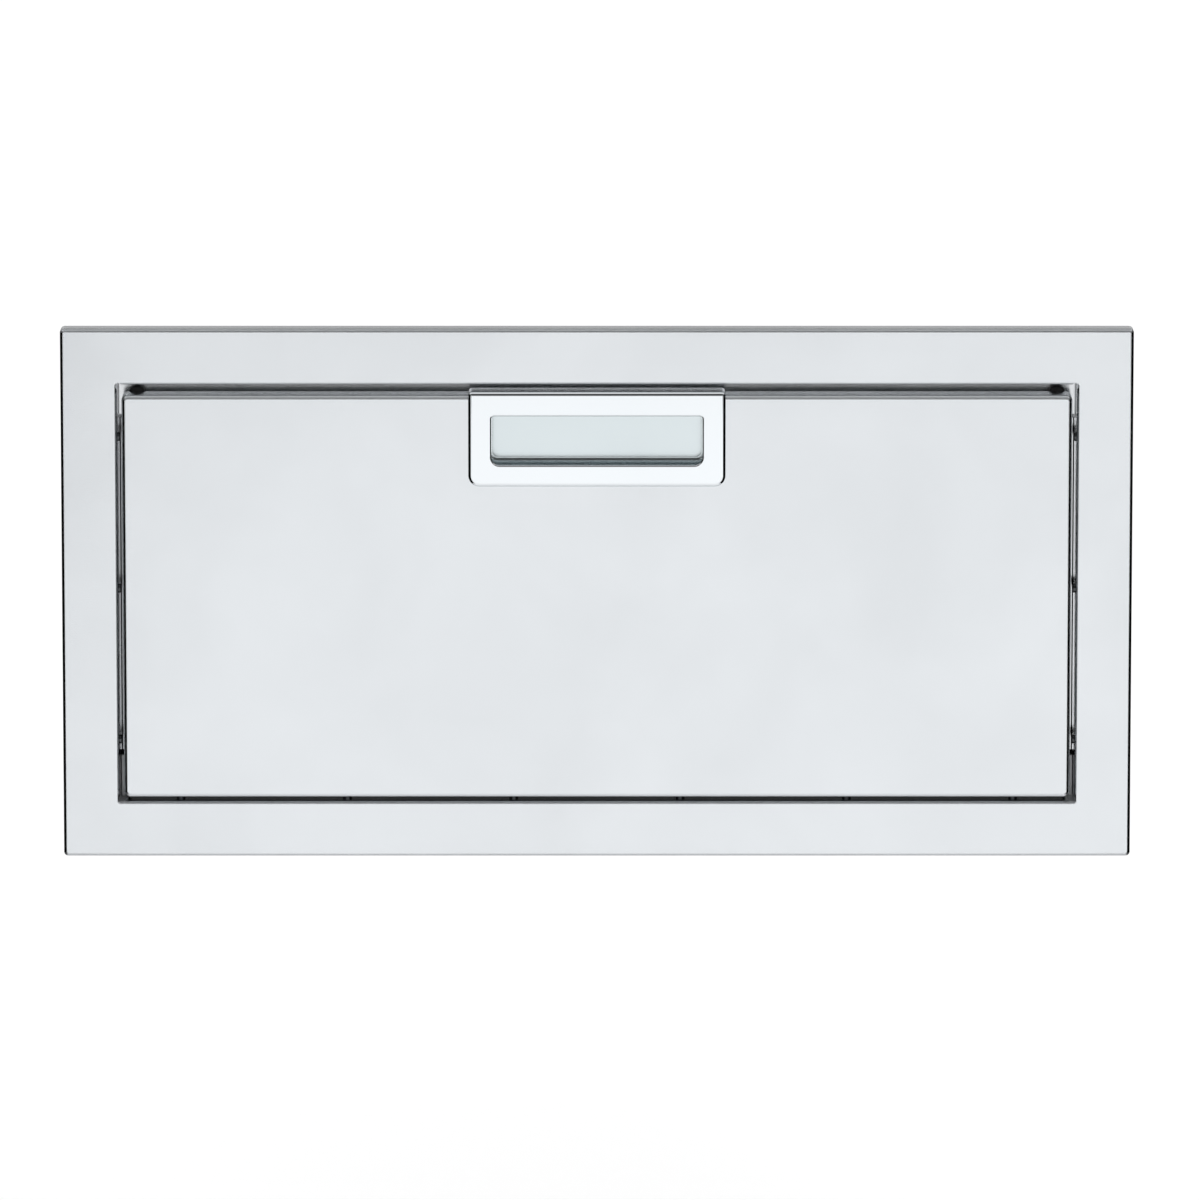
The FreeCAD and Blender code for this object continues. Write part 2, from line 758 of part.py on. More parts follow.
def make_bracket_rivets():
    made = []
    for y in slide_fix_y:
        for level in (-1, 1):
            place = Vec(housing_outer_x, y, slide_z + level * bracket_rivet_z)
            made.append(aimed(rivet(housing_sheet + bracket_sheet), place, X))
    return made


# Drawer front

def make_front_skin():
    skin = panel(front_x, front_bottom, front_top, front_corner, front_corner, front_face, front_back)
    skin = skin.makeFillet(front_bend, edges_at_y(skin, front_face, front_x, front_bottom, front_top))
    inner_x = front_x - front_sheet
    inner_top = front_top - front_sheet
    inner_bottom = front_bottom + front_sheet
    inner_corner = front_corner - front_sheet
    inner_face = front_face + front_sheet
    hollow = panel(inner_x, inner_bottom, inner_top, inner_corner, inner_corner, inner_face, front_back)
    hollow = hollow.makeFillet(front_bend - front_sheet,
                               edges_at_y(hollow, inner_face, inner_x, inner_bottom, inner_top))
    skin = skin.cut(hollow)
    skin = skin.cut(panel(pocket_x, pocket_bottom, pocket_top, pocket_corner, pocket_corner,
                          front_face, inner_face))
    return drilled(skin, [(p, Y, stud_radius + hole_clearance, front_sheet * 2) for p in stud_places])


def make_front_liner():
    outer_x = front_x - front_sheet - seat_clearance
    top = front_top - front_sheet - seat_clearance
    bottom = front_bottom + front_sheet + seat_clearance
    corner = front_corner - front_sheet
    rim_front = front_back - liner_sheet - liner_flange
    web = front_back - liner_sheet
    liner = panel(outer_x, bottom, top, corner, corner, rim_front, front_back)
    liner = liner.cut(panel(outer_x - liner_sheet, bottom + liner_sheet, top - liner_sheet,
                            corner - liner_sheet, corner - liner_sheet, rim_front, web))
    holes = []
    for side in (-1, 1):
        for z in tab_screw_z:
            holes.append((Vec(side * tab_screw_x, front_back, z), Y, screw_hole, liner_sheet * 2))
    for x in upstand_x:
        holes.append((Vec(x, front_back, box_seam_z), Y, screw_hole, liner_sheet * 2))
    return drilled(liner, holes)


stud_places = []
for side in (-1, 1):
    for z in (handle_bottom + stud_bottom_edge, handle_top - stud_top_edge):
        stud_places.append(Vec(side * (handle_width / 2 - stud_side_edge), front_face, z))


def on_handle_rim(b):
    """True for the edges that run round the front face, over the fold and round the top face."""
    on_face = b.YMax < handle_face + near
    on_top = b.ZMin > handle_top - near
    on_fold = b.YMax < handle_face + handle_fold + near and b.ZMin > handle_top - handle_fold - near
    along_fold = on_fold and b.XLength > handle_width / 2
    return (on_face or on_top or on_fold) and not along_fold


def make_handle_plate():
    half = handle_width / 2
    bend = handle_fold * (1 - 0.5 ** 0.5)
    a = Vec(-half, handle_face, handle_bottom)
    b = Vec(-half, handle_face, handle_top - handle_fold)
    b_arc = Vec(-half, handle_face + bend, handle_top - bend)
    c = Vec(-half, handle_face + handle_fold, handle_top)
    d = Vec(-half, front_back, handle_top)
    e = Vec(-half, front_back, front_top)
    f = Vec(-half, front_face, front_top)
    g = Vec(-half, front_face, handle_bottom)
    profile = Part.Wire([
        Part.makeLine(a, b), Part.Arc(b, b_arc, c).toShape(), Part.makeLine(c, d),
        Part.makeLine(d, e), Part.makeLine(e, f), Part.makeLine(f, g), Part.makeLine(g, a)])
    plate = Part.Face(profile).extrude(Vec(handle_width, 0, 0))

    plate = plate.makeFillet(handle_bottom_corner, edges_where(
        plate, lambda b: b.YLength > near and b.XLength < near and b.ZMax < handle_bottom + near))
    plate = plate.makeFillet(handle_back_corner, edges_where(
        plate, lambda b: b.ZLength > near and b.XLength < near and b.YMin > front_back - near))
    plate = plate.makeFillet(handle_edge, edges_where(plate, on_handle_rim))

    plate = plate.cut(panel(window_width / 2, window_bottom, window_top,
                            window_top_corner, window_bottom_corner, handle_face, front_face))
    plate = plate.makeFillet(window_edge, edges_at_y(plate, handle_face, window_width / 2,
                                                     window_bottom, window_top))
    for place in stud_places:
        plate = plate.fuse(Part.makeCylinder(stud_radius, stud_length, place, Y))
    return plate


def make_handle_pocket():
    cavity = panel(pocket_x, pocket_bottom, pocket_top, pocket_corner, pocket_corner,
                   pocket_mouth, pocket_back)
    cavity = cavity.makeFillet(pocket_cove, edges_at_y(cavity, pocket_back, pocket_x,
                                                       pocket_bottom, pocket_top))
    wall = pocket_sheet
    outer_corner = pocket_corner + wall
    cup = panel(pocket_x + wall, pocket_bottom - wall, pocket_top + wall,
                outer_corner, outer_corner, pocket_mouth, pocket_back + wall)
    cup = cup.makeFillet(pocket_cove + wall,
                         edges_at_y(cup, pocket_back + wall, pocket_x + wall,
                                    pocket_bottom - wall, pocket_top + wall))
    lip_top = min(pocket_top + pocket_flange, front_top - front_bend - seat_clearance)
    lip = panel(pocket_x + pocket_flange, pocket_bottom - pocket_flange, lip_top,
                pocket_flange, pocket_flange, pocket_mouth, pocket_mouth + wall)
    return cup.fuse(lip).cut(cavity)


def make_handle_nuts():
    corner = nut_flats / 3 ** 0.5
    points = []
    for index in range(7):
        turn = FreeCAD.Rotation(Y, 60 * index)
        points.append(turn.multVec(Vec(corner, 0, 0)))
    nut = Part.Face(Part.makePolygon(points)).extrude(Vec(0, nut_height, 0))
    nut = nut.cut(Part.makeCylinder(stud_radius + hole_clearance, nut_height, Vec(0, 0, 0), Y))
    made = []
    for place in stud_places:
        one = nut.copy()
        one.translate(Vec(place.x, front_face + front_sheet, place.z))
        made.append(one)
    return made


# Drawer box

def make_drawer_bottom():
    back = box_back - box_sheet
    tray = block(-box_inner_x, box_inner_x, box_front, back, box_bottom, box_bottom + box_upstand)
    tray = tray.cut(block(-box_inner_x + box_sheet, box_inner_x - box_sheet,
                          box_front + box_sheet, back - box_sheet,
                          box_bottom + box_sheet, box_bottom + box_upstand))
    holes = []
    for side in (-1, 1):
        for y in box_seam_y:
            holes.append((Vec(side * box_inner_x, y, box_seam_z), X, rivet_hole, box_sheet * 2))
    for x in upstand_x:
        holes.append((Vec(x, box_front, box_seam_z), Y, screw_hole, box_sheet * 2))
        holes.append((Vec(x, back, box_seam_z), Y, rivet_hole, box_sheet * 2))
    return drilled(tray, holes)


def make_drawer_side():
    side = block(box_inner_x, box_outer_x, box_front, box_back, box_bottom, box_top)
    hem_back = box_back - box_upstand
    side = side.fuse(block(box_inner_x - box_hem, box_inner_x, box_front, hem_back,
                           box_top - box_sheet, box_top))
    tab_low = box_bottom + box_upstand + box_tab_end_gap
    side = side.fuse(block(box_inner_x - box_tab, box_inner_x, box_front, box_front + box_sheet,
                           tab_low, box_top - box_sheet))
    side = side.removeSplitter()
    holes = [(Vec(box_inner_x, y, box_seam_z), X, rivet_hole, box_sheet * 2) for y in box_seam_y]
    holes += [(Vec(box_inner_x, y, slide_z), X, rivet_hole, box_sheet * 2) for y in slide_fix_y]
    holes += [(Vec(box_inner_x, box_back_seam_y, z), X, rivet_hole, box_sheet * 2)
              for z in box_back_seam_z]
    holes += [(Vec(tab_screw_x, box_front, z), Y, screw_hole, box_sheet * 2) for z in tab_screw_z]
    return drilled(side, holes)


def make_drawer_back():
    web = box_back - box_sheet
    back = block(-box_inner_x, box_inner_x, web, box_back, box_bottom, box_top)
    low = box_bottom + box_upstand + box_tab_end_gap
    flange_front = web - box_upstand + box_sheet * 2
    for side in (-1, 1):
        x0, x1 = sorted((side * (box_inner_x - box_sheet), side * box_inner_x))
        back = back.fuse(block(x0, x1, flange_front, web, low, box_top - box_sheet * 2))
    hem_x = box_inner_x - box_sheet * 2
    back = back.fuse(block(-hem_x, hem_x, web - box_hem, web, box_top - box_sheet, box_top))
    back = back.removeSplitter()
    holes = []
    for side in (-1, 1):
        for z in box_back_seam_z:
            place = Vec(side * box_inner_x, box_back_seam_y, z)
            holes.append((place, X, rivet_hole, box_sheet * 2))
    holes += [(Vec(x, web, box_seam_z), Y, rivet_hole, box_sheet * 2) for x in upstand_x]
    return drilled(back, holes)


def make_drawer_rivets():
    pair = rivet(2 * box_sheet)
    side_rivets = [aimed(pair, Vec(box_outer_x, y, box_seam_z), X) for y in box_seam_y]
    side_rivets += [aimed(pair, Vec(box_outer_x, box_back_seam_y, z), X) for z in box_back_seam_z]
    rear = [aimed(pair, Vec(x, box_back, box_seam_z), Y) for x in upstand_x]
    return both_sides(side_rivets) + rear


def make_drawer_front_screws():
    inside = box_front + box_sheet
    made = []
    for side in (-1, 1):
        for z in tab_screw_z:
            made.append(aimed(pan_screw(screw_length), Vec(side * tab_screw_x, inside, z), Y))
    for x in upstand_x:
        made.append(aimed(pan_screw(screw_length), Vec(x, inside, box_seam_z), Y))
    return made


def make_drawer_member_rivets():
    web_x = slide_drawer_x + slide_sheet
    grip = slide_sheet + box_sheet
    return [aimed(rivet(grip), Vec(web_x, y, slide_z), X) for y in slide_fix_y]


# Write every node

write("trim_frame", make_trim_frame())
housing_side = make_housing_side()
write("housing_right_side", housing_side)
write("housing_left_side", mirrored(housing_side))
write("housing_bottom", make_housing_bottom())
write("housing_back", make_housing_back())
write("housing_rivets", make_housing_rivets())

write("side_frame_screws", both_sides([aimed(pan_screw(screw_length), p, X * -1) for p in side_screw_places]))
write("bottom_frame_screws", [aimed(pan_screw(screw_length), p, Z) for p in bottom_screw_places])
top_screw = pan_screw(top_screw_grip)
write("top_frame_screws", [aimed(top_screw, p + Z * top_screw_grip, Z) for p in top_screw_places])

write("front_top_rail", make_front_top_rail())
write("closing_bumpers", both_sides([make_bumper()]))

edge_bar = make_edge_bar()
write("right_edge_bar", edge_bar)
write("left_edge_bar", mirrored(edge_bar))
write("edge_bar_screws", both_sides(make_bar_screws()))

slide_pieces = {
    "slide_bracket": make_slide_bracket(),
    "cabinet_member": make_cabinet_member(),
    "middle_member": make_middle_member(),
    "drawer_member": make_drawer_member(),
    "outer_ball_cage": make_ball_cage(outer_cage_x, outer_ball_x, outer_race_z),
    "inner_ball_cage": make_ball_cage(inner_cage_x, inner_ball_x, inner_race_z),
}
for name, shape in slide_pieces.items():
    write("right_" + name, shape)
    write("left_" + name, mirrored(shape))
outer_balls = make_balls(outer_ball_x, outer_race_z)
inner_balls = make_balls(inner_ball_x, inner_race_z)
write("right_outer_balls", outer_balls)
write("left_outer_balls", [mirrored(ball) for ball in outer_balls])
write("right_inner_balls", inner_balls)
write("left_inner_balls", [mirrored(ball) for ball in inner_balls])
write("cabinet_member_screws", both_sides(make_cabinet_member_screws()))
write("bracket_rivets", both_sides(make_bracket_rivets()))
write("slide_rear_buffers", both_sides([make_rear_buffer()]))

write("drawer_front_skin", make_front_skin())
write("drawer_front_liner", make_front_liner())
write("handle_plate", make_handle_plate())
write("handle_pocket", make_handle_pocket())
write("handle_nuts", make_handle_nuts())
write("drawer_bottom", make_drawer_bottom())
drawer_side = make_drawer_side()
write("drawer_right_side", drawer_side)
write("drawer_left_side", mirrored(drawer_side))
write("drawer_back", make_drawer_back())
write("drawer_rivets", make_drawer_rivets())
write("drawer_front_screws", make_drawer_front_screws())
write("drawer_member_rivets", both_sides(make_drawer_member_rivets()))
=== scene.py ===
# %% [markdown]
# # A built-in drawer unit for an outdoor kitchen
#
# The real object is folded sheet metal: a brushed trim frame that lies on the face of the
# island, a drawer front that stands in it, a polished lip handle, and behind them a housing
# with ball-bearing slides and a drawer box. Every solid already has its true shape, so this
# script adds what the solids lack: the finishes, the studio and the camera.
#
# The first cell loads the solids. They are never moved, and everything is in metres.

# %% Load the solids
import math

import bpy
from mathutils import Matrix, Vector


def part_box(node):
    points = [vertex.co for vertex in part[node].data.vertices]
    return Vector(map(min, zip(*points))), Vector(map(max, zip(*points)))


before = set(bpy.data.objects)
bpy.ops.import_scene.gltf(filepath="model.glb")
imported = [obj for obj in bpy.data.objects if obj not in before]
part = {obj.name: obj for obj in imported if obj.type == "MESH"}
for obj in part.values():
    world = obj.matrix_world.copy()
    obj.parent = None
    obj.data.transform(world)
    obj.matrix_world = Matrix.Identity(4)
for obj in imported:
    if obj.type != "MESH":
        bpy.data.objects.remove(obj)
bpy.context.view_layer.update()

# %% [markdown]
# ## Small helpers for shader nodes
#
# A procedural finish is a graph of nodes. Writing each node by hand takes many lines, so one
# helper adds a node and fills in or joins its sockets, and short ones built on it do arithmetic.

# %% Add and join nodes
def add(tree, kind, inputs=None, **settings):
    """A new node with its settings, and its sockets filled in or joined."""
    made = tree.nodes.new(kind)
    for name, value in settings.items():
        setattr(made, name, value)
    for name, value in (inputs or {}).items():
        socket = made.inputs[name]
        if isinstance(value, bpy.types.NodeSocket):
            tree.links.new(value, socket)
        else:
            socket.default_value = value
    return made


def maths(tree, operation, first, second=0.0, clamp=False):
    """One step of arithmetic on numbers."""
    made = add(tree, "ShaderNodeMath", {0: first, 1: second}, operation=operation, use_clamp=clamp)
    return made.outputs[0]


def vector_maths(tree, operation, first, second=(0, 0, 0)):
    """One step of arithmetic on vectors."""
    made = add(tree, "ShaderNodeVectorMath", {0: first, 1: second}, operation=operation)
    return made.outputs["Vector"]


def remap(tree, value, low, high, to_low, to_high):
    """A value moved from one range to another."""
    made = add(tree, "ShaderNodeMapRange", {"Value": value, "From Min": low, "From Max": high,
                                            "To Min": to_low, "To Max": to_high})
    return made.outputs["Result"]


def mixed(tree, factor, first, second):
    """The first number where the factor is 0, and the second where it is 1."""
    return add(tree, "ShaderNodeMix", {"Factor": factor, "A": first, "B": second}).outputs["Result"]


def along_axes(tree, vector):
    """The X, Y and Z of a vector."""
    return add(tree, "ShaderNodeSeparateXYZ", {0: vector}).outputs


def size_of(tree, value):
    """A number without its sign."""
    return maths(tree, "ABSOLUTE", value)


def geometry(tree, output):
    """What the Geometry node knows of a point, such as its normal."""
    return add(tree, "ShaderNodeNewGeometry").outputs[output]


def object_place(tree):
    """Where a point of the solid lies, in metres."""
    return add(tree, "ShaderNodeTexCoord").outputs["Object"]


print("node helpers ready")

# %% [markdown]
# A node group wraps a graph that several finishes share, such as the grain of brushed sheet. It
# is built once, with named inputs, and each material places it with its own values.

# %% Make and place node groups
def new_group(name, inputs, outputs):
    """An empty node group with named number inputs and outputs."""
    tree = bpy.data.node_groups.new(name, "ShaderNodeTree")
    for label, value in inputs.items():
        socket = tree.interface.new_socket(label, in_out="INPUT", socket_type="NodeSocketFloat")
        socket.default_value = value
    for label in outputs:
        tree.interface.new_socket(label, in_out="OUTPUT", socket_type="NodeSocketFloat")
    return tree, tree.nodes.new("NodeGroupInput").outputs, tree.nodes.new("NodeGroupOutput").inputs


def use_group(tree, group, values):
    """A copy of a node group inside a material."""
    made = add(tree, "ShaderNodeGroup", node_tree=group)
    for label, value in values.items():
        made.inputs[label].default_value = value
    return made.outputs


print("group helpers ready")

# %% [markdown]
# ## The grain of brushed sheet
#
# Brushed stainless is scratched in one direction by an abrasive belt. Each scratch is a few
# millimetres long and much thinner than that, so a noise that is squeezed across the belt's
# direction looks right. On a folded sheet the grain runs on round the bend. Here the belt runs
# left to right, so position across the grain is height on upright faces and depth on level
# ones. Two noises, one fine and one coarse, keep it from looking like ruled lines.

# %% Build the grain group
grain_along = 90.0
grain_across = 1700.0
coarse_share = 0.35
coarse_squeeze = (0.12, 0.05, 1.0)
faces_that_way = 0.7


def sheet_grain_group():
    tree, given, result = new_group(
        "sheet_grain", {"Along": grain_along, "Across": grain_across, "Coarse": coarse_share},
        ("Height", "Tone"))
    at = along_axes(tree, object_place(tree))
    facing = along_axes(tree, geometry(tree, "True Normal"))
    level = maths(tree, "GREATER_THAN", size_of(tree, facing["Z"]), faces_that_way)
    side_on = maths(tree, "GREATER_THAN", size_of(tree, facing["X"]), faces_that_way)
    run = mixed(tree, side_on, at["X"], at["Y"])
    rise = mixed(tree, level, at["Z"], at["Y"])
    fine_place = add(tree, "ShaderNodeCombineXYZ", {
        "X": maths(tree, "MULTIPLY", run, given["Along"]),
        "Y": maths(tree, "MULTIPLY", rise, given["Across"])}).outputs[0]
    fine = add(tree, "ShaderNodeTexNoise", {"Vector": fine_place, "Scale": 1.0, "Detail": 3.0,
                                            "Roughness": 0.6}).outputs["Fac"]
    coarse_place = vector_maths(tree, "MULTIPLY", fine_place, coarse_squeeze)
    coarse = add(tree, "ShaderNodeTexNoise", {"Vector": coarse_place, "Scale": 1.0,
                                              "Detail": 2.0}).outputs["Fac"]
    tree.links.new(fine, result["Height"])
    tree.links.new(mixed(tree, given["Coarse"], fine, coarse), result["Tone"])
    return tree


sheet_grain = sheet_grain_group()
print("group:", sheet_grain.name)

# %% [markdown]
# ## Marks of handling
#
# Even a clean unit isn't evenly dull. Fingers and cleaning cloths leave soft patches that
# change how sharp a reflection is. A large soft noise gives the patches, and a small one gives
# the fine specks of dust and pitting on rubber. The group puts out one mask for each, and each
# finish says how much they change.

# %% Build the handling group
patch_scale = 7.0
patch_range = (0.35, 0.7)
speck_scale = 420.0
speck_range = (0.62, 0.74)


def handling_group():
    tree, given, result = new_group("handling_marks", {"Size": patch_scale}, ("Patches", "Specks"))
    place = object_place(tree)
    large = add(tree, "ShaderNodeTexNoise", {"Vector": place, "Scale": given["Size"], "Detail": 4.0,
                                             "Roughness": 0.55, "Distortion": 0.4}).outputs["Fac"]
    tree.links.new(remap(tree, large, *patch_range, 0.0, 1.0), result["Patches"])
    small = add(tree, "ShaderNodeTexNoise", {"Vector": place, "Scale": speck_scale,
                                             "Detail": 2.0}).outputs["Fac"]
    tree.links.new(remap(tree, small, *speck_range, 0.0, 1.0), result["Specks"])
    return tree


handling = handling_group()
print("group:", handling.name)

# %% [markdown]
# ## Painted highlights on edges
#
# The edge of a sheet is deburred after it is cut. The thin bright line of light that it catches
# is painted into the colour here, along every edge: a painted highlight. The Bevel node looks
# round the corner of the mesh: where its normal leaves the face's own, an edge is near. That
# gives a mask without touching the mesh.

# %% Build the painted edge highlight group
edge_reach = 0.0006
edge_begins = 0.97
edge_full = 0.75


# The mask for the painted highlight: 1 along edges, 0 on the flat.
def edge_highlight_group():
    tree, given, result = new_group("painted_edge_highlight", {"Reach": edge_reach}, ("Painted Highlight",))
    bevel = add(tree, "ShaderNodeBevel", {"Radius": given["Reach"]}, samples=4)
    alike = add(tree, "ShaderNodeVectorMath",
                {0: bevel.outputs["Normal"], 1: geometry(tree, "True Normal")},
                operation="DOT_PRODUCT").outputs["Value"]
    tree.links.new(remap(tree, alike, edge_begins, edge_full, 0.0, 1.0), result["Painted Highlight"])
    return tree


painted_edge_highlight = edge_highlight_group()
print("group:", painted_edge_highlight.name)

# %% [markdown]
# ## The metals
#
# Every metal here is a Principled shader, and they differ in colour, dullness and grain. Most
# are pure mirrors, with Metallic at 1. The satin sheet inside and the plated slides have a
# rougher skin that also scatters light, so theirs is lower. As pure mirrors they showed only
# the dark cards of the studio and looked black from the side.
#
# Brushed metal spreads a reflection across its scratches, which the anisotropy does: it needs
# the direction of the scratches, worked out from the face's normal, so that it turns with each
# fold. In the photograph the folds that run left to right mirror less sharply than the flat
# sheet would there. A likely reason is that a bend along the grain opens the scratches. So
# these folds are duller here, by an amount that is judged.

# %% Follow the grain round the folds
sideways_nudge = -0.02
upright_ends = (0.05, 0.3)
level_begins = (0.93, 0.995)


def scratch_direction(tree):
    """Left to right on faces that look forward or up, and front to back on the sides."""
    normal = geometry(tree, "Normal")
    level = vector_maths(tree, "CROSS_PRODUCT", normal, (0, 0, 1))
    upward = size_of(tree, along_axes(tree, normal)["Z"])
    nudge = maths(tree, "MULTIPLY", upward, sideways_nudge)
    sideways = add(tree, "ShaderNodeCombineXYZ", {"X": nudge}).outputs[0]
    return vector_maths(tree, "NORMALIZE", vector_maths(tree, "ADD", level, sideways))


def fold_along_grain(tree):
    """1 on a fold that runs left to right, as the grain does, else 0."""
    upward = size_of(tree, along_axes(tree, geometry(tree, "Normal"))["Z"])
    off_upright = remap(tree, upward, *upright_ends, 0.0, 1.0)
    off_level = remap(tree, upward, *level_begins, 1.0, 0.0)
    return maths(tree, "MULTIPLY", off_upright, off_level)


print("grain helpers ready")

# %% [markdown]
# One function makes each metal. Grain, soft patches and a painted highlight along the edges
# change its colour a little, and grain and patches its dullness. The fine grain can also be a
# shallow bump.

# %% Make a metal
tone_range = (0.3, 0.7)
grain_dulls = 0.3
quarter_turn = 0.25
scratch_depth = 0.00002


def principled(name):
    """A new material with its node tree and its Principled shader."""
    made = bpy.data.materials.new(name)
    made.use_nodes = True
    return made, made.node_tree, made.node_tree.nodes["Principled BSDF"]


def metal(name, colour, rough, tint=0.02, grain=0.0, patches=0.03, edge_glint=0.05, anisotropic=0.0,
          along=grain_along, across=grain_across, depth=scratch_depth, mirror=1.0, dull_folds=0.0):
    """A metal with grain, soft patches of handling and a painted highlight along its edges."""
    made, tree, shader = principled(name)
    shader.inputs["Metallic"].default_value = mirror
    shader.inputs["Anisotropic"].default_value = anisotropic
    marks = use_group(tree, handling, {})
    streaks = use_group(tree, sheet_grain, {"Along": along, "Across": across})
    highlight_mask = use_group(tree, painted_edge_highlight, {})

    shade = remap(tree, streaks["Tone"], *tone_range, 1.0 - grain, 1.0 + grain)
    shade = maths(tree, "SUBTRACT", shade, maths(tree, "MULTIPLY", marks["Patches"], tint))
    # Painted highlight: the colour is raised along every edge.
    shade = maths(tree, "ADD", shade, maths(tree, "MULTIPLY", highlight_mask["Painted Highlight"], edge_glint))
    colour_node = add(tree, "ShaderNodeVectorMath", {0: colour}, operation="SCALE")
    tree.links.new(shade, colour_node.inputs["Scale"])
    tree.links.new(colour_node.outputs["Vector"], shader.inputs["Base Color"])

    swing = grain_dulls * patches
    dulled = remap(tree, streaks["Tone"], *tone_range, rough - swing, rough + swing)
    dulled = maths(tree, "ADD", dulled, maths(tree, "MULTIPLY", marks["Patches"], patches))
    if dull_folds:
        folds = maths(tree, "MULTIPLY", fold_along_grain(tree), dull_folds)
        dulled = maths(tree, "ADD", dulled, folds)
    tree.links.new(dulled, shader.inputs["Roughness"])
    if anisotropic:
        tree.links.new(scratch_direction(tree), shader.inputs["Tangent"])
        shader.inputs["Anisotropic Rotation"].default_value = quarter_turn
    if depth:
        bump = add(tree, "ShaderNodeBump",
                   {"Height": streaks["Height"], "Distance": depth, "Strength": 1.0})
        tree.links.new(bump.outputs["Normal"], shader.inputs["Normal"])
    return made


print("metal maker ready")

# %% Mix the metals
brushed = metal("brushed_stainless", (0.694, 0.719, 0.742), 0.18, grain=0.012, anisotropic=0.8,
                dull_folds=0.16)
satin = metal("satin_stainless", (0.72, 0.735, 0.75), 0.4, grain=0.03, anisotropic=0.45, along=60.0,
              mirror=0.45)
# A darker copy of the bright stainless, for the left edge bar: painted shade.
shaded_stainless_copy = metal("painted_shade_stainless", (0.43, 0.445, 0.46), 0.26, grain=0.03, anisotropic=0.45, along=60.0)
bright = metal("bright_stainless", (0.67, 0.685, 0.70), 0.16, grain=0.02, anisotropic=0.5, along=60.0)
polished = metal("polished_stainless", (0.716, 0.745, 0.768), 0.05, tint=0.01, depth=0)
pressed = metal("pressed_stainless", (0.615, 0.672, 0.69), 0.17, tint=0.01, grain=0.006, depth=0)
plated = metal("plated_slide_steel", (0.66, 0.69, 0.72), 0.28, tint=0.08, grain=0.02, along=40.0,
               across=700.0, mirror=0.7)
ball = metal("ball_steel", (0.82, 0.83, 0.84), 0.07, depth=0)
fastener = metal("fastener_steel", (0.62, 0.63, 0.64), 0.24, tint=0.06, depth=0)
# Near-black steel for the frame screws, with a stronger painted highlight on their edges.
near_black = metal("blackened_screw_steel", (0.10, 0.105, 0.11), 0.3, edge_glint=0.12, depth=0)
print("metals:", ", ".join(made.name for made in (brushed, satin, shaded_stainless_copy, bright, polished, pressed,
                                                 plated, ball, fastener, near_black)))

# %% [markdown]
# ## Rubber
#
# The bumpers and buffers are moulded black rubber. It is matte, a little dusty on top, and its
# surface has the fine pitting of the mould.

# %% Make the rubber
clean_rubber = (0.012, 0.012, 0.013, 1)
dusty_rubber = (0.035, 0.034, 0.033, 1)
rubber_rough = (0.62, 0.8)
pitting_depth = 0.00008
dust_scale = 40.0


def finish_rubber():
    made, tree, shader = principled("black_rubber")
    marks = use_group(tree, handling, {"Size": dust_scale})
    mix = add(tree, "ShaderNodeMix", data_type="RGBA")
    factor, clean, dusty = mix.inputs[0], mix.inputs[6], mix.inputs[7]
    clean.default_value = clean_rubber
    dusty.default_value = dusty_rubber
    tree.links.new(marks["Patches"], factor)
    tree.links.new(mix.outputs[2], shader.inputs["Base Color"])
    tree.links.new(remap(tree, marks["Specks"], 0, 1, *rubber_rough), shader.inputs["Roughness"])
    bump = add(tree, "ShaderNodeBump",
               {"Height": marks["Specks"], "Distance": pitting_depth, "Strength": 0.5})
    tree.links.new(bump.outputs["Normal"], shader.inputs["Normal"])
    return made


black_rubber = finish_rubber()
print("rubber:", black_rubber.name)

# %% [markdown]
# ## Dress the solids
#
# Each solid takes one finish. Its shape stays as it is: only the material slot changes. The
# two edge bars are the same steel, and the left one is given a darker copy of it: painted shade.

# %% Give each solid its finish
def dress(material, *names):
    """Give a finish to each solid whose name is, or ends with, one of these names."""
    found = [n for n in part if any(n == name or n.endswith("_" + name) for name in names)]
    for name in found:
        part[name].data.materials.clear()
        part[name].data.materials.append(material)
    print(material.name, "on", len(found), "solids")
    return found


dressed = dress(brushed, "trim_frame", "drawer_front_skin")
dressed += dress(polished, "handle_plate")
dressed += dress(pressed, "handle_pocket")
dressed += dress(satin, "housing_left_side", "housing_right_side", "housing_bottom", "housing_back",
                 "drawer_front_liner", "drawer_bottom", "drawer_left_side", "drawer_right_side",
                 "drawer_back")
dressed += dress(bright, "front_top_rail", "right_edge_bar")
# The left edge bar takes the darker copy: painted shade.
dressed += dress(shaded_stainless_copy, "left_edge_bar")
dressed += dress(plated, "slide_bracket", "cabinet_member", "middle_member", "drawer_member",
                 "ball_cage")
dressed += dress(ball, "balls")
dressed += dress(fastener, "rivets", "edge_bar_screws", "cabinet_member_screws", "drawer_front_screws",
                 "handle_nuts")
dressed += dress(near_black, "frame_screws")
dressed += dress(black_rubber, "closing_bumpers", "slide_rear_buffers")
missing = set(part) - set(dressed)
if missing:
    raise ValueError("no finish for " + ", ".join(sorted(missing)))
print("dressed:", len(dressed), "of", len(part))

# %% [markdown]
# ## The studio
#
# Polished and brushed metal is as light or dark as what it mirrors. The photograph is a
# product shot on white: the front mirrors a white floor and room, so it is light and even,
# while the bends at the sides are black lines and the top edges are grey. So the room here is
# white, and cards stand and hang round the unit, as a photographer sets them up.
#
# A white background comes from what the camera and mirrors see of the room and floor. The
# light that they throw on the unit is set apart from it, with the Light Path node.

# %% Make the room and its floor
floor_height = -0.62
floor_size = 60.0
floor_grey = (0.9, 0.9, 0.9, 1)
floor_rough = 0.9
floor_glow = 0.38
room_light = 0.72
white = (1, 1, 1, 1)


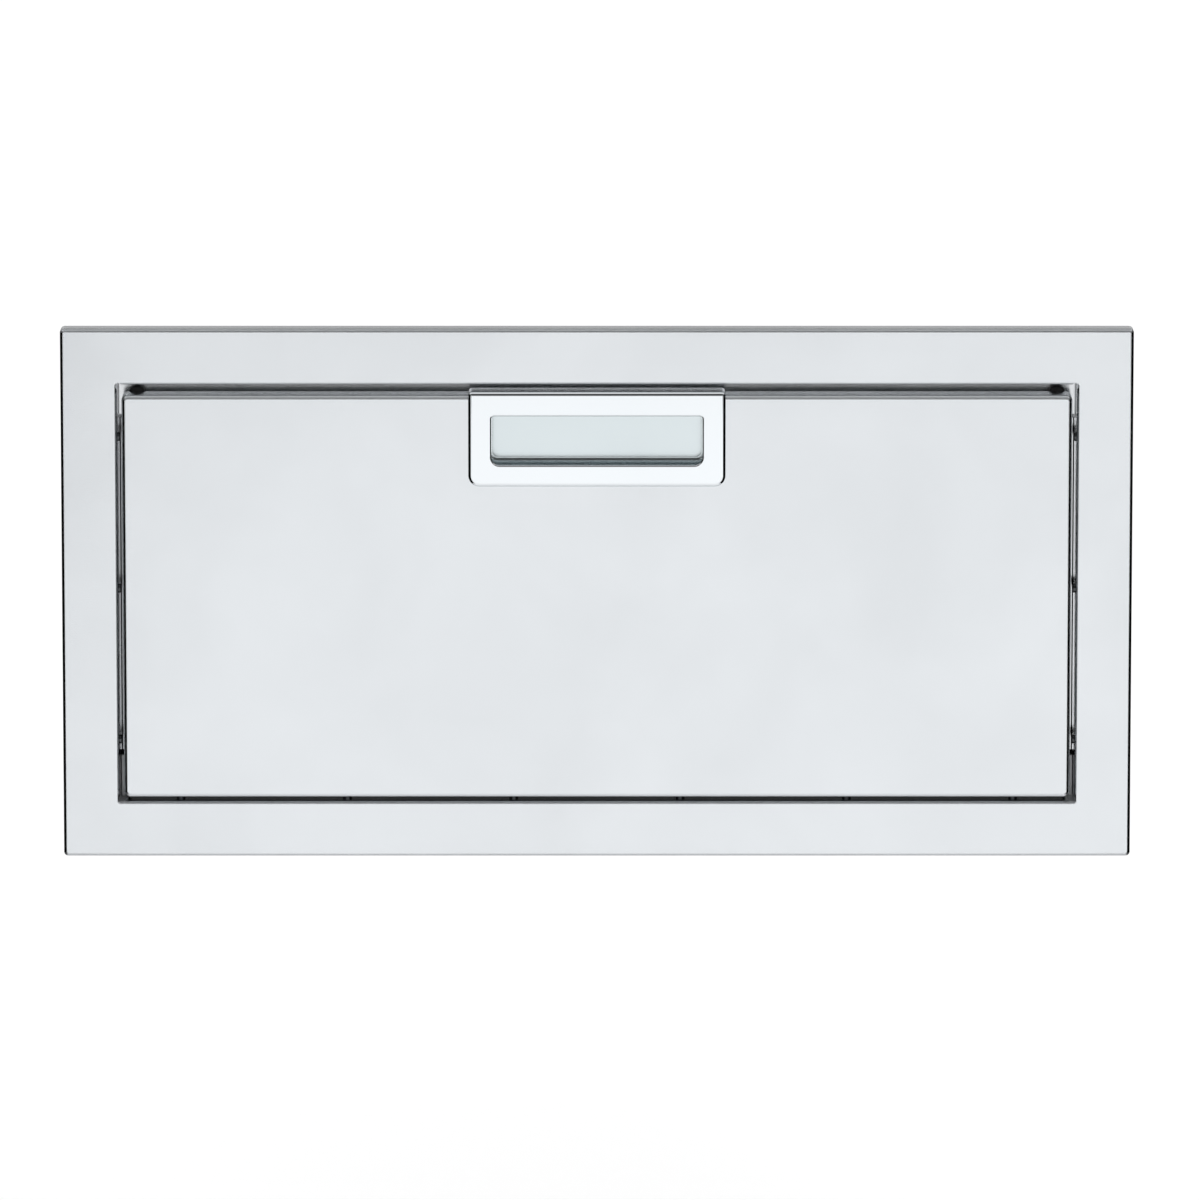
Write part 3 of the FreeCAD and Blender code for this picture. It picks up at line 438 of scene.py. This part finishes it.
def seen_directly(tree):
    """1 for rays that come from the camera or from a mirror, else 0."""
    path = add(tree, "ShaderNodeLightPath").outputs
    first = maths(tree, "ADD", path["Is Camera Ray"], path["Is Glossy Ray"])
    return maths(tree, "ADD", first, path["Is Transmission Ray"], clamp=True)


def new_object(name, points, faces):
    """An object in the scene, from its corner points and its faces."""
    mesh = bpy.data.meshes.new(name)
    mesh.from_pydata(points, [], faces)
    made = bpy.data.objects.new(name, mesh)
    bpy.context.scene.collection.objects.link(made)
    return made


def make_room():
    world = bpy.data.worlds.new("white_room")
    bpy.context.scene.world = world
    world.use_nodes = True
    tree = world.node_tree
    background = tree.nodes["Background"]
    background.inputs["Color"].default_value = white
    strength = remap(tree, seen_directly(tree), 0, 1, room_light, 1.0)
    tree.links.new(strength, background.inputs["Strength"])


def make_floor():
    half = floor_size / 2
    corners = [(-half, -half, floor_height), (half, -half, floor_height),
               (half, half, floor_height), (-half, half, floor_height)]
    floor = new_object("floor", corners, [(0, 1, 2, 3)])
    material, tree, shader = principled("pale_floor")
    shader.inputs["Base Color"].default_value = floor_grey
    shader.inputs["Roughness"].default_value = floor_rough
    shader.inputs["Emission Color"].default_value = white
    strength = remap(tree, seen_directly(tree), 0, 1, 0.0, floor_glow)
    tree.links.new(strength, shader.inputs["Emission Strength"])
    floor.data.materials.append(material)


make_room()
make_floor()
print("room and floor made")

# %% [markdown]
# ## The cards
#
# A card shows only in reflections: the camera doesn't see it, and it throws no light or shadow
# on dull surfaces. Each is a black surface with an even glow of one grey. A curved card is a
# ribbon of flat strips, which keeps its distance from the unit all the way round.

# %% Make a card
def card(name, points, faces, grey):
    """A card that shows only in reflections."""
    made = new_object(name, points, faces)
    material, _, shader = principled(name)
    shader.inputs["Base Color"].default_value = (0, 0, 0, 1)
    shader.inputs["Specular IOR Level"].default_value = 0.0
    shader.inputs["Emission Color"].default_value = (grey, grey, grey, 1)
    shader.inputs["Emission Strength"].default_value = 1.0
    made.data.materials.append(material)
    made.visible_camera = False
    made.visible_diffuse = False
    made.visible_shadow = False
    made.visible_transmission = False


level_corners = (0, 1, 3, 2)
upright_corners = (0, 2, 3, 1)


def ribbon_card(name, pairs, corners, grey):
    """A card of strips, each between one pair of points and the next, with its corners in order."""
    points = [point for pair in pairs for point in pair]
    faces = [tuple(first + corner for corner in corners) for first in range(0, len(points) - 2, 2)]
    card(name, points, faces, grey)


def even_turns(first, last, steps):
    """Angles from one to another, given in degrees, in even steps."""
    return [math.radians(first + (last - first) * index / steps) for index in range(steps + 1)]


print("card maker ready")

# %% [markdown]
# The bearings of the upright and floor cards count in degrees from straight in front of the
# unit, to the right. The arches rise in degrees from the front, over the top.

# %% Shape the curved cards
card_radius = 2.6
card_top = 1.9
card_reach = 1.6
upright_steps = 24
arch_steps = 12
card_lift = 0.004
frame_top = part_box("trim_frame")[1].z


def wall_card(name, first, last, foot, grey):
    """A curved upright card, from one bearing to another."""
    pairs = []
    for turn in even_turns(first, last, upright_steps):
        x = card_radius * math.sin(turn)
        y = -card_radius * math.cos(turn)
        pairs.append(((x, y, foot), (x, y, card_top)))
    ribbon_card(name, pairs, upright_corners, grey)


def floor_card(name, first, last, near, grey):
    """A ring-shaped card just above the floor, out to the foot of the upright ones."""
    height = floor_height + card_lift
    pairs = [[(reach * math.sin(turn), -reach * math.cos(turn), height) for reach in (near, card_radius)]
             for turn in even_turns(first, last, upright_steps)]
    ribbon_card(name, pairs, level_corners, grey)


def arch_card(name, first, last, grey):
    """A curved card overhead, from one rise above the front to another."""
    pairs = []
    for rise in even_turns(first, last, arch_steps):
        y = -card_radius * math.cos(rise)
        z = frame_top + card_radius * math.sin(rise)
        pairs.append(((-card_reach, y, z), (card_reach, y, z)))
    ribbon_card(name, pairs, level_corners, grey)


print("curved cards ready")

# %% [markdown]
# The side cards and the floor beside them are nearly black, for the dark lines at the sides.
# A mid grey strip stands a little left of the front and one a little right of it, and a pale
# grey card closes the back. Two dark arches hang over the front and the back, for the grey top
# edges.

# %% Put up the curved cards
black = 0.004
strip_grey = 0.5
back_grey = 0.55
front_arch_grey = 0.09
back_arch_grey = 0.08
side_first, side_last = 36, 150
strip_foot = -0.27
floor_card_near = 0.62

wall_card("right_dark_card", side_first, side_last, floor_height, black)
wall_card("left_dark_card", -side_last, -side_first, floor_height, black)
wall_card("left_grey_card", -26, -12, strip_foot, strip_grey)
wall_card("right_grey_card", 14, 26, strip_foot, strip_grey)
wall_card("back_grey_card", side_last, 360 - side_last, floor_height, back_grey)
floor_card("right_dark_floor", side_first, side_last, floor_card_near, black)
floor_card("left_dark_floor", -side_last, -side_first, floor_card_near, black)
arch_card("front_arch_card", 5, 62, front_arch_grey)
arch_card("back_arch_card", 98, 146, back_arch_grey)
print("curved cards up")

# %% [markdown]
# One more card lies under the unit. The last is a dim strip just behind and below the foot of
# the drawer front. It stands for the light that leaks in under the drawer.

# %% Lay the flat cards
under_grey = 0.22
under_half_width = 0.9
under_front = -0.03
under_back = 0.7
under_lift = 0.008
leak_grey = 0.045
leak_half_width = 0.335
leak_height = 0.013
leak_below = 0.0035
leak_behind = 0.04


def level_card(name, half_width, front, back, height, grey):
    """A level card, between two distances from the island's face."""
    points = [(-half_width, front, height), (half_width, front, height),
              (half_width, back, height), (-half_width, back, height)]
    card(name, points, [(0, 1, 2, 3)], grey)


def upright_card(name, half_width, depth, foot, top, grey):
    """An upright card that faces the front."""
    points = [(-half_width, depth, foot), (half_width, depth, foot),
              (half_width, depth, top), (-half_width, depth, top)]
    card(name, points, [(0, 1, 2, 3)], grey)


skin_low, skin_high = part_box("drawer_front_skin")
leak_foot = skin_low.z - leak_below
level_card("under_grey_card", under_half_width, under_front, under_back,
           floor_height + under_lift, under_grey)
upright_card("strip_below_drawer", leak_half_width, skin_high.y + leak_behind,
             leak_foot, leak_foot + leak_height, leak_grey)
print("flat cards laid")

# %% [markdown]
# One large soft lamp hangs in front of the unit, a little to the right. It gives the floor its
# shadow and stays out of the reflections, which the room and the cards already fill.

# %% Hang the lamp
lamp_size = (2.4, 1.6)
lamp_watts = 60.0
lamp_at = (0.9, -5.0, 2.6)
lamp_aim = Vector((0, 0.2, 0))


def make_lamp():
    light = bpy.data.lights.new("soft_lamp", "AREA")
    light.shape = "RECTANGLE"
    light.size, light.size_y = lamp_size
    light.energy = lamp_watts
    lamp = bpy.data.objects.new("soft_lamp", light)
    bpy.context.scene.collection.objects.link(lamp)
    lamp.location = lamp_at
    lamp.rotation_euler = (lamp_aim - lamp.location).to_track_quat("-Z", "Y").to_euler()
    lamp.visible_glossy = False
    lamp.visible_camera = False


make_lamp()
print("lamp hung")

# %% [markdown]
# ## The camera
#
# The photograph was taken with a long lens from 8 m away, 10 degrees above the middle of the
# front. That follows from how much wider the top edge is than the bottom one, and from how
# much of the top edge shows. The frame's middle lies a few pixels left of and above the
# picture's middle, so the camera aims a little to the right of it and below.

# %% Set up the camera
picture = 1200
sensor = 36.0
distance = 8.037
elevation = math.radians(10.0)
pixels_per_metre = 1404.4
front_middle = Vector((0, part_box("trim_frame")[0].y, 0))
middle_at = (596.9, 593.7)
far_clip = 200.0


def make_camera():
    data = bpy.data.cameras.new("photo_camera")
    data.sensor_width = sensor
    data.lens = sensor * pixels_per_metre * distance / picture
    data.clip_end = far_clip
    camera = bpy.data.objects.new("photo_camera", data)
    bpy.context.scene.collection.objects.link(camera)
    right = Vector((1, 0, 0))
    up = Vector((0, math.sin(elevation), math.cos(elevation)))
    aim = front_middle + right * ((picture / 2 - middle_at[0]) / pixels_per_metre)
    aim -= up * ((picture / 2 - middle_at[1]) / pixels_per_metre)
    toward_camera = Vector((0, -math.cos(elevation), math.sin(elevation)))
    camera.location = aim + toward_camera * distance
    camera.rotation_euler = (-toward_camera).to_track_quat("-Z", "Y").to_euler()
    bpy.context.scene.camera = camera
    print("lens", round(data.lens, 1), "mm, camera at", [round(v, 3) for v in camera.location])


make_camera()
bpy.context.scene.view_settings.view_transform = "Standard"
